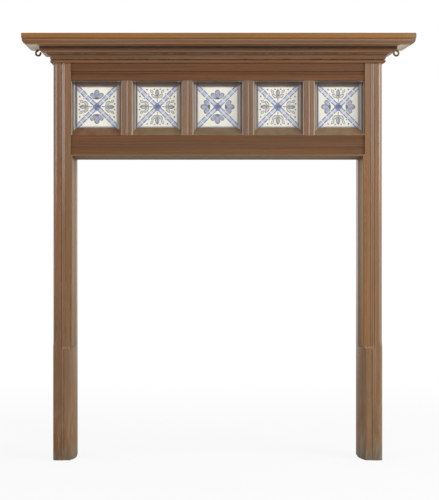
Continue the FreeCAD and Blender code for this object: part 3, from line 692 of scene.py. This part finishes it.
trefoil = {
    "leaves": [
        {"centre": (0.68, 0.0), "angle": 0.0, "long": 0.2, "wide": 0.1},
        {"centre": (0.52, 0.16), "angle": 52.0, "long": 0.17, "wide": 0.085},
        {"centre": (0.75, 0.26), "angle": 35.0, "long": 0.13, "wide": 0.065},
    ],
    "outline": (0.93, 1.05, 1.0, 0.0), "heart": (0.5, 0.62, 1.0, 0.0),
    "stem": (0.014, 0.026, 1.0, 0.0), "stemFoot": (0.24, 0.26), "stemTip": (0.84, 0.86, 1.0, 0.0),
    "berries": ((0.86, 0.14), (0.62, 0.42), (0.84, 0.5)), "berry": (0.034, 0.046, 1.0, 0.0),
}
edgeShadeDirt = [  # darker against the moulds, thickest on the left and at the top: dirt and painted shade of the moulds
    ("X", (-0.99, -0.97, 1.0, 0.0)), ("X", (0.97, 0.995, 0.0, 0.5)),
    ("Z", (0.965, 0.99, 0.0, 0.8)), ("Z", (-0.995, -0.97, 0.5, 0.0)),
]
tileLevels = {1: 1.0, 2: 0.96, 3: 0.91, 4: 0.91, 5: 0.88}  # how bright each tile is
tileFields = {  # motif above and below, motif at the sides
    1: ("fan", "trefoil"), 2: ("trefoil", "trefoil"), 3: ("fan", "fan"),
    4: ("trefoil", "trefoil"), 5: ("trefoil", "fan"),
}


def leafMask(tree, p, q, centre, angle, long, wide):  # a pointed leaf; returns its solid and its heart
    c, s = math.cos(math.radians(angle)), math.sin(math.radians(angle))
    dp = calc(tree, "SUBTRACT", p, centre[0])
    dq = calc(tree, "SUBTRACT", q, centre[1])
    a = calc(tree, "ADD", times(tree, dp, c / long), times(tree, dq, s / long))
    b = calc(tree, "ADD", times(tree, dp, -s / wide), times(tree, dq, c / wide))
    size = calc(tree, "ADD", times(tree, a, a), calc(tree, "ABSOLUTE", b))
    return ease(tree, size, *trefoil["outline"]), ease(tree, size, *trefoil["heart"])


def paintTrefoil(tree, p, q):  # pointed leaves on a stem, with berries beside it
    masks = [leafMask(tree, p, q, **leaf) for leaf in trefoil["leaves"]]
    leaves = largest(tree, *[solid for solid, heart in masks])
    hearts = largest(tree, *[heart for solid, heart in masks])
    stem = times(tree, ease(tree, p, *trefoil["stemFoot"]), ease(tree, p, *trefoil["stemTip"]))
    stem = times(tree, ease(tree, q, *trefoil["stem"]), stem)
    berries = []
    for centre in trefoil["berries"]:
        bp = calc(tree, "SUBTRACT", p, centre[0])
        bq = calc(tree, "SUBTRACT", q, centre[1])
        berries.append(ease(tree, distance(tree, bp, bq), *trefoil["berry"]))
    pale = times(tree, hearts, leaves)
    dark = largest(tree, calc(tree, "SUBTRACT", leaves, pale, clamp=True), stem, *berries)
    return pale, dark


def paintFan(tree, p, q):  # lobes about a foot, with dark ribs and rim
    dp = calc(tree, "SUBTRACT", p, fan["foot"])
    reach = distance(tree, dp, q)
    angle = calc(tree, "ABSOLUTE", calc(tree, "ARCTAN2", q, dp))
    lobe = calc(tree, "ABSOLUTE", calc(tree, "COSINE", times(tree, angle, fan["lobes"])))
    lobe = calc(tree, "POWER", lobe, fan["lobePower"])
    rim = calc(tree, "MULTIPLY_ADD", angle, fan["droop"], fan["rim"])
    rim = calc(tree, "MULTIPLY_ADD", lobe, fan["lobeReach"], rim)
    inFan = ease(tree, calc(tree, "SUBTRACT", reach, rim), *fan["outline"])
    inFan = times(tree, inFan, ease(tree, angle, *fan["spread"]))
    veins = ease(tree, calc(tree, "SUBTRACT", rim, reach), *fan["veins"])
    petals = times(tree, ease(tree, lobe, *fan["ribs"]), veins)
    root = ease(tree, reach, *fan["root"])
    pale = times(tree, inFan, petals)
    dark = times(tree, inFan, largest(tree, root, calc(tree, "SUBTRACT", 1.0, petals)))
    return pale, dark


def makeTilePainting():
    tree, given, wanted = newGroup(
        "tilePainting",
        [("Place", "vector"), ("Upright Fan", "value"), ("Level Fan", "value")],
        [("Band", "value"), ("Petal", "value"), ("Wash", "value"), ("Deep", "value"), ("Slate", "value"),
         ("Grime", "value")],
    )
    place = given["Place"]  # x and z run from -1 to 1 over what shows of a tile
    wobble = addNode(tree, "ShaderNodeTexNoise")
    feed(tree, wobble.inputs["Vector"], place)
    wobble.inputs["Scale"].default_value = brush["wobbleScale"]
    wobble.inputs["Detail"].default_value = brush["wobbleDetail"]
    shaken = addNode(tree, "ShaderNodeVectorMath", operation="MULTIPLY_ADD")
    feed(tree, shaken.inputs[0], wobble.outputs["Color"])
    shaken.inputs[1].default_value = (brush["wobble"],) * 3
    feed(tree, shaken.inputs[2], place)
    hand = splitPlace(tree, shaken.outputs[0])
    u = calc(tree, "ABSOLUTE", calc(tree, "SUBTRACT", hand["X"], brush["wobble"] / 2))
    v = calc(tree, "ABSOLUTE", calc(tree, "SUBTRACT", hand["Z"], brush["wobble"] / 2))
    p = calc(tree, "MAXIMUM", u, v)
    q = calc(tree, "MINIMUM", u, v)
    upright = calc(tree, "GREATER_THAN", v, u)
    level = calc(tree, "SUBTRACT", 1.0, upright)
    upright = times(tree, upright, given["Upright Fan"])
    fanned = calc(tree, "ADD", upright, times(tree, level, given["Level Fan"]))
    plain = calc(tree, "SUBTRACT", 1.0, fanned)
    # saltire
    off = times(tree, calc(tree, "SUBTRACT", p, q), math.sqrt(0.5))
    run = times(tree, calc(tree, "ADD", p, q), math.sqrt(0.5))
    rims = times(tree, ease(tree, off, *saltire["rimInner"]), ease(tree, off, *saltire["rimOuter"]))
    beat = calc(tree, "PINGPONG", calc(tree, "SUBTRACT", run, saltire["beatFrom"]), saltire["beat"])
    gap = ease(tree, beat, *saltire["gap"])
    lozenge = ease(tree, calc(tree, "ADD", u, v), *saltire["lozenge"])
    edge = times(tree, ease(tree, p, *saltire["edgeInner"]), ease(tree, p, *saltire["edgeOuter"]))
    # motifs, which keep off the bands and the border
    fanPale, fanDark = paintFan(tree, p, q)
    leafPale, leafDark = paintTrefoil(tree, p, q)
    clear = ease(tree, off, *saltire["clear"])
    inner = times(tree, clear, calc(tree, "SUBTRACT", 1.0, ease(tree, p, *saltire["border"])))
    motifDark = calc(tree, "ADD", times(tree, fanDark, fanned), times(tree, leafDark, plain))
    here = splitPlace(tree, place)
    painted = {
        "Band": times(tree, ease(tree, off, *saltire["band"]), gap),
        "Petal": times(tree, times(tree, fanPale, fanned), clear),
        "Wash": times(tree, times(tree, leafPale, plain), inner),
        "Deep": largest(tree, times(tree, rims, gap), lozenge, edge),
        "Slate": times(tree, motifDark, inner),
        # a dark rim against the moulds, dirt and painted shade
        "Grime": largest(tree, *[ease(tree, here[letter], *levels) for letter, levels in edgeShadeDirt]),
    }
    wash = noise(tree, place, **brush["wash"])
    for mask, amount in painted.items():
        feed(tree, wanted[mask], times(tree, amount, ease(tree, wash, *brush[mask])))
    return tree


tilePainting = makeTilePainting()


def makeTile(number):
    node = "tile_" + str(number)
    low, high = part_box(node)
    middle = (low + high) / 2
    material, tree, shader = newMaterial(node + "_glaze")
    place = objectPlace(tree)
    moved = addNode(tree, "ShaderNodeVectorMath", operation="SUBTRACT")
    feed(tree, moved.inputs[0], place)
    moved.inputs[1].default_value = middle
    local = stretch(tree, moved.outputs[0], (1 / sightHalf,) * 3)
    upright, level = (1.0 if motif == "fan" else 0.0 for motif in tileFields[number])
    painted = useGroup(tree, tilePainting, place=local, uprightFan=upright, levelFan=level)
    clouds = noise(tree, place, **glaze["cloudNoise"])
    cream, cloud = (rgb(part * tileLevels[number] for part in glaze[key]) for key in ("cream", "cloud"))
    colour = blendColour(tree, ease(tree, clouds, *glaze["clouds"]), cream, cloud)
    for key in ("band", "petal", "wash", "slate", "deep", "grime"):
        colour = blendColour(tree, painted[key.capitalize()], colour, rgb(glaze[key]))
    cracks = addNode(tree, "ShaderNodeTexVoronoi", feature="DISTANCE_TO_EDGE")
    feed(tree, cracks.inputs["Vector"], place)
    cracks.inputs["Scale"].default_value = glaze["crackScale"]
    crazing = ease(tree, cracks.outputs["Distance"], *glaze["crazing"])
    feed(tree, shader.inputs["Base Color"], blendColour(tree, crazing, colour, rgb(glaze["craze"])))
    feed(tree, shader.inputs["Roughness"], ease(tree, clouds, *glaze["smears"]))
    ripple = noise(tree, place, **glaze["rippleNoise"])
    height = calc(tree, "MULTIPLY_ADD", crazing, glaze["crackHeight"], ripple)
    height = calc(tree, "MULTIPLY_ADD", painted["Slate"], glaze["paintHeight"], height)
    addBump(tree, shader, height, glaze["bumpDepth"], glaze["bumpStrength"])
    return material


for number in tileFields:
    dress("tile_" + str(number), makeTile(number))
print("glazed tiles painted")

# darkened brass hooks and plain steel screws
brass = {
    "bright": (0.29, 0.245, 0.125), "tarnish": (0.115, 0.095, 0.05), "bloom": (0.12, 0.12, 0.075),
    "roughness": 0.42,
}
steel = {
    "bright": (0.42, 0.41, 0.39), "tarnish": (0.12, 0.05, 0.02), "bloom": (0.12, 0.05, 0.02),
    "roughness": 0.38,
}
metalAge = {
    "broad": {"scales": (160.0, 160.0, 160.0), "detail": 4.0, "roughness": 0.6},
    "fine": {"scales": (900.0, 900.0, 900.0)},
    "tarnished": (0.35, 0.62), "bloomed": (0.55, 0.72), "bloomAmount": 0.5, "dull": (0.3, 0.7),
    "dulling": 0.25, "bumpDepth": 0.0002, "bumpStrength": 0.3,
}


def makeMetal(name, metal):
    material, tree, shader = newMaterial(name)
    place = objectPlace(tree)
    broad = noise(tree, place, **metalAge["broad"])
    fine = noise(tree, place, **metalAge["fine"])
    tarnished = ease(tree, broad, *metalAge["tarnished"])
    colour = blendColour(tree, tarnished, rgb(metal["bright"]), rgb(metal["tarnish"]))
    bloomed = times(tree, ease(tree, fine, *metalAge["bloomed"]), metalAge["bloomAmount"])
    feed(tree, shader.inputs["Base Color"], blendColour(tree, bloomed, colour, rgb(metal["bloom"])))
    shader.inputs["Metallic"].default_value = 1.0
    smooth, dull = metal["roughness"], metal["roughness"] + metalAge["dulling"]
    feed(tree, shader.inputs["Roughness"], ease(tree, broad, *metalAge["dull"], smooth, dull))
    addBump(tree, shader, fine, metalAge["bumpDepth"], metalAge["bumpStrength"])
    return material


hookBrass = makeMetal("hook_brass_aged", brass)
screwSteel = makeMetal("screw_steel_plain", steel)
for node in ("left_hook", "right_hook"):
    dress(node, hookBrass)
for node in ("backing_screws", "shelf_screws"):
    dress(node, screwSteel)
print("hooks and screws finished")

# eased arrises on every wooden piece
easing = {
    "weld": 0.00001, "flatAngle": 1.0, "sharpAngle": 28.0, "wood": 0.0006, "deal": 0.0008, "segments": 2,
}


def easeArrises(node, width):
    piece = nodes[node]
    weld = piece.modifiers.new("weld", "WELD")
    weld.merge_threshold = easing["weld"]
    flat = piece.modifiers.new("flat", "DECIMATE")
    flat.decimate_type = "DISSOLVE"
    flat.angle_limit = math.radians(easing["flatAngle"])
    bevel = piece.modifiers.new("arris", "BEVEL")
    bevel.width = width
    bevel.segments = easing["segments"]
    bevel.limit_method = "ANGLE"
    bevel.angle_limit = math.radians(easing["sharpAngle"])
    bevel.use_clamp_overlap = True
    normals = piece.modifiers.new("normals", "WEIGHTED_NORMAL")
    normals.keep_sharp = True
    piece.data.shade_smooth()


for node, look, axis in woodPieces:
    easeArrises(node, easing["wood"])
for node, axis in dealPieces:
    easeArrises(node, easing["deal"])
print("arrises eased")

# pale studio: a floor that fades to white, a dim sky with a white back, a broad key and three more boxes
studio = {
    "white": (1.0, 1.0, 1.0), "black": (0.0, 0.0, 0.0), "aim": (0.0, 0.0, 1.0),
    "floor": {
        "bounce": (0.6, 0.59, 0.58), "seen": (0.07, 0.07, 0.0695), "glow": 0.875, "roughness": 0.9,
        "fade": (0.0, 2.0), "horizon": (2.5, 6.0), "far": 60.0, "near": -8.0, "half": 40.0,
    },
    "sky": {"front": 0.25, "top": 0.38, "back": 1.0, "turn": (-0.3, 0.5), "upward": (0.35, 0.9)},
    "lights": {
        "keyBox": {"at": (0.4, -4.2, 2.55), "size": (2.4, 0.8), "watts": 112.0},
        "leftBox": {"at": (-3.0, -1.4, 1.9), "size": (1.6, 2.0), "watts": 48.0},
        "rightBox": {"at": (3.0, -1.4, 1.9), "size": (1.6, 2.0), "watts": 100.0},
        "lowBox": {"at": (2.2, -0.5, 0.35), "size": (0.8, 0.8), "watts": 9.0},
    },
}


def makeFloor():
    setting = studio["floor"]
    half, near, far = setting["half"], setting["near"], setting["far"]
    corners = [(-half, near, 0.0), (half, near, 0.0), (half, far, 0.0), (-half, far, 0.0)]
    mesh = bpy.data.meshes.new("studio_floor")
    mesh.from_pydata(corners, [], [(0, 1, 2, 3)])
    floor = bpy.data.objects.new("studio_floor", mesh)
    scene.collection.objects.link(floor)
    material, tree, shader = newMaterial("studio_floor_paint")
    seen = addNode(tree, "ShaderNodeLightPath").outputs["Is Camera Ray"]
    place = objectPlace(tree)
    spread = addNode(tree, "ShaderNodeVectorMath", operation="LENGTH")
    feed(tree, spread.inputs[0], place)
    around = times(tree, ease(tree, spread.outputs["Value"], *setting["horizon"]), seen)
    away = largest(tree, ease(tree, splitPlace(tree, place)["Y"], *setting["fade"]), around)
    paint = blendColour(tree, seen, rgb(setting["bounce"]), rgb(setting["seen"]))
    feed(tree, shader.inputs["Base Color"], blendColour(tree, away, paint, rgb(studio["black"])))
    shader.inputs["Roughness"].default_value = setting["roughness"]
    shader.inputs["Specular IOR Level"].default_value = 0.0
    shader.inputs["Emission Color"].default_value = rgb(studio["white"])
    glow = times(tree, seen, setting["glow"])
    rest = calc(tree, "SUBTRACT", 1.0, glow)
    feed(tree, shader.inputs["Emission Strength"], calc(tree, "MULTIPLY_ADD", rest, away, glow))
    mesh.materials.append(material)


def makeSky():
    setting = studio["sky"]
    world = bpy.data.worlds.new("studio_sky")
    world.use_nodes = True
    tree = world.node_tree
    spot = splitPlace(tree, addNode(tree, "ShaderNodeTexCoord").outputs["Generated"])
    level = ease(tree, spot["Y"], *setting["turn"], setting["front"], setting["back"])
    upward = ease(tree, spot["Z"], *setting["upward"])
    around = times(tree, level, calc(tree, "SUBTRACT", 1.0, upward))
    level = calc(tree, "ADD", around, times(tree, upward, setting["top"]))
    seen = addNode(tree, "ShaderNodeLightPath").outputs["Is Camera Ray"]
    sky = tree.nodes["Background"]
    sky.inputs["Color"].default_value = rgb(studio["white"])
    feed(tree, sky.inputs["Strength"], largest(tree, level, seen))
    scene.world = world


def makeLights():
    for name, setting in studio["lights"].items():
        lamp = bpy.data.lights.new(name, "AREA")
        lamp.shape = "RECTANGLE"
        lamp.size, lamp.size_y = setting["size"]
        lamp.energy = setting["watts"]
        box = bpy.data.objects.new(name, lamp)
        box.location = setting["at"]
        aim = Vector(studio["aim"]) - box.location
        box.rotation_euler = aim.to_track_quat("-Z", "Y").to_euler()
        scene.collection.objects.link(box)


makeFloor()
makeSky()
makeLights()
print("studio set")

# camera square to the front, a little left of the middle
view = {
    "at": (-0.145, -4.3025, 0.953), "focalPixels": 1216.0, "aimPixel": (176.8, 191.0),
    "frame": (439.0, 500.0), "longSide": 500.0, "sensor": 36.0, "tilt": 90.0,
}


def makeCamera():
    lens = bpy.data.cameras.new("front_camera")
    lens.sensor_fit = "AUTO"
    lens.sensor_width = view["sensor"]
    lens.lens = view["focalPixels"] * lens.sensor_width / view["longSide"]
    lens.shift_x = (view["frame"][0] / 2 - view["aimPixel"][0]) / view["longSide"]
    lens.shift_y = (view["aimPixel"][1] - view["frame"][1] / 2) / view["longSide"]
    camera = bpy.data.objects.new("front_camera", lens)
    camera.location = view["at"]
    camera.rotation_euler = (math.radians(view["tilt"]), 0.0, 0.0)
    scene.collection.objects.link(camera)
    scene.camera = camera


makeCamera()
print("camera set")
